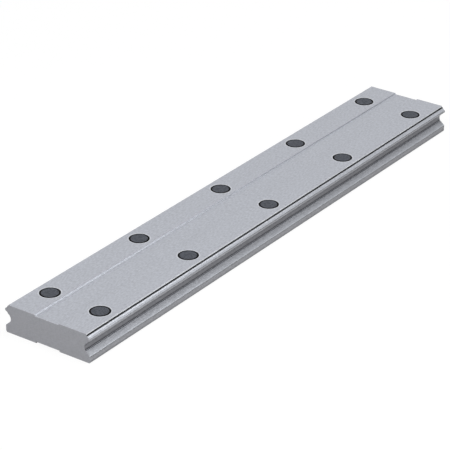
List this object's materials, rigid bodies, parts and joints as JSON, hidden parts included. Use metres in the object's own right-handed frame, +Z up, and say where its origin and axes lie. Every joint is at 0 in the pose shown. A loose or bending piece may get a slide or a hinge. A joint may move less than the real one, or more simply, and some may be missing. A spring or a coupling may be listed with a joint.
{
  "type": "linear guide rail",
  "caption": "Wide linear guide rail: a flat ground steel bar with ball raceways along both sides and rows of counterbored mounting holes closed by flush plugs.",
  "frame": {"origin": "centre of the underside, on the plane that the mounting pads rest on", "axes": "+Y along the rail, +X across it, +Z up from the mounting surface"},
  "size_m": [0.037, 0.23, 0.011],
  "materials": {
    "ground_steel": "ground, satin",
    "plug_plastic": "matte"
  },
  "bodies": {
    "root": {"rail": "ground_steel", "plug_left_1": "plug_plastic", "plug_left_2": "plug_plastic", "plug_left_3": "plug_plastic", "plug_left_4": "plug_plastic", "plug_left_5": "plug_plastic", "plug_right_1": "plug_plastic", "plug_right_2": "plug_plastic", "plug_right_3": "plug_plastic", "plug_right_4": "plug_plastic", "plug_right_5": "plug_plastic"}
  },
  "joints": []
}
